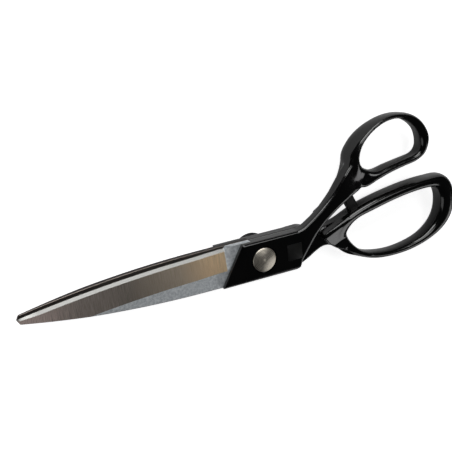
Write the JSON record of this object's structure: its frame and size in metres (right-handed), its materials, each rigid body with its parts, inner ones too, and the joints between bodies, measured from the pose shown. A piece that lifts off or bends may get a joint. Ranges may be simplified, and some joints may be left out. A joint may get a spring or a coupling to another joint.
{
  "type": "fabric shears",
  "caption": "Bent-handle fabric shears with long ground steel blades, black cast handles with a small thumb loop and a large finger loop, on a screw pivot.",
  "frame": {"origin": "centre of the flat outer face of the pivot nut, on the pivot axis, which the shears rest on", "axes": "+Z along the pivot axis from the nut to the screw head, +X from the pivot to the handles along the closed blades, +Y towards the thumb loop"},
  "size_m": [0.2592, 0.0831, 0.0186],
  "materials": {
    "handle_enamel": "gloss black enamel on a cast handle",
    "blade_steel": "ground across the blade on the facet, fine satin on the flat, bright along the edge",
    "turned_nickel": "nickel with fine turned rings",
    "washer_steel": "plain spring steel",
    "nylon": "natural nylon",
    "black_oxide": "blackened steel, satin",
    "bumper_rubber": "black rubber",
    "label_film": "dark grey film, blank"
  },
  "bodies": {
    "finger_half": {"finger_handle": "handle_enamel", "rear_blade": "blade_steel", "friction_washer": "nylon", "wave_washer": "washer_steel", "stop_bumper": "bumper_rubber"},
    "thumb_half": {"thumb_handle": "handle_enamel", "front_blade": "blade_steel", "pivot_screw": "turned_nickel", "head_washer": "washer_steel", "size_label": "label_film"},
    "nut": {"pivot_nut": "black_oxide"}
  },
  "joints": [
    {"name": "blade_pivot", "type": "hinge", "parent": "finger_half", "child": "thumb_half", "pos_m": [0, 0, 0.0113], "axis": [0, 0, 1], "range_deg": [0, 85]},
    {"name": "nut_adjust", "type": "hinge", "parent": "thumb_half", "child": "nut", "pos_m": [0, 0, 0.002], "axis": [0, 0, 1], "range_deg": [-45, 45]}
  ]
}
